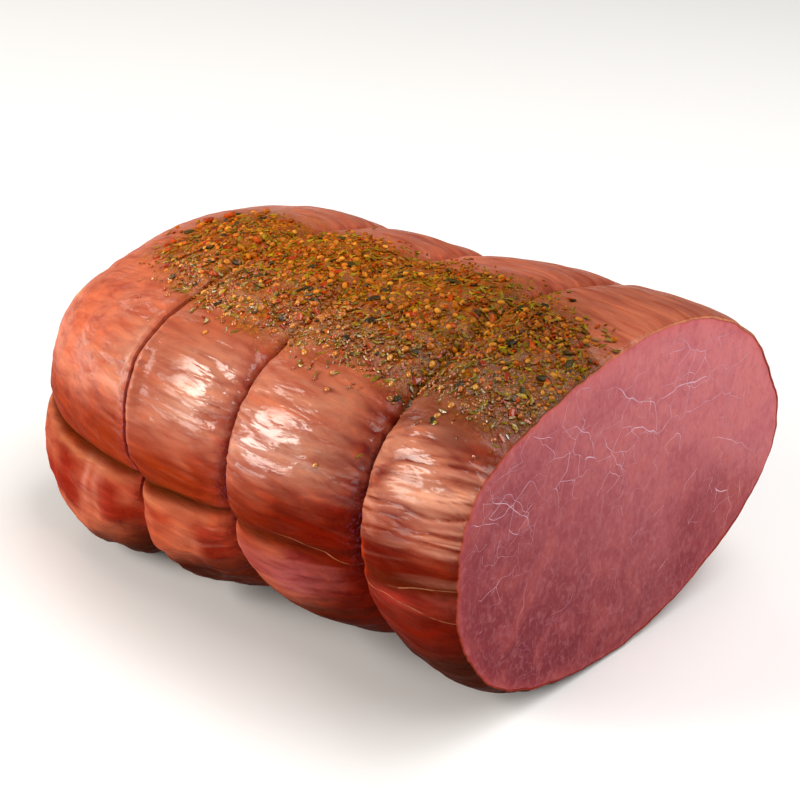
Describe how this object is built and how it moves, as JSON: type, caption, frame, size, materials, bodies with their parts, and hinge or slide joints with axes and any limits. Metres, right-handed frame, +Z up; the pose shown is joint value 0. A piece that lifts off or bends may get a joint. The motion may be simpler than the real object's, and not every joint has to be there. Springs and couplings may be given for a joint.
{
  "type": "beef pastrami",
  "caption": "Tied and cured beef roast with a flat-cut end and a rounded end, seeds and dried herbs along its top; rests on flat spots beneath.",
  "frame": {"origin": "centre of the bounding box, at the height of the flat spots that it rests on", "axes": "+X along the roast towards its cut end, +Y across it away from the lengthwise fold, +Z up"},
  "size_m": [0.1722, 0.1387, 0.0926],
  "materials": {
    "cured_skin": "wet cured meat with a soft gloss",
    "cut_meat": "moist cut meat with thin pale marbling",
    "mustard_seed": "glazed seeds",
    "coriander_seed": "glazed brown seeds",
    "dried_herb": "dry leaf bits in a thin glaze",
    "dark_leaf": "dark crushed leaf and pepper",
    "red_flake": "dried red pepper flakes in a thin glaze"
  },
  "bodies": {
    "root": {"pastrami": "cured_skin"}
  },
  "joints": []
}
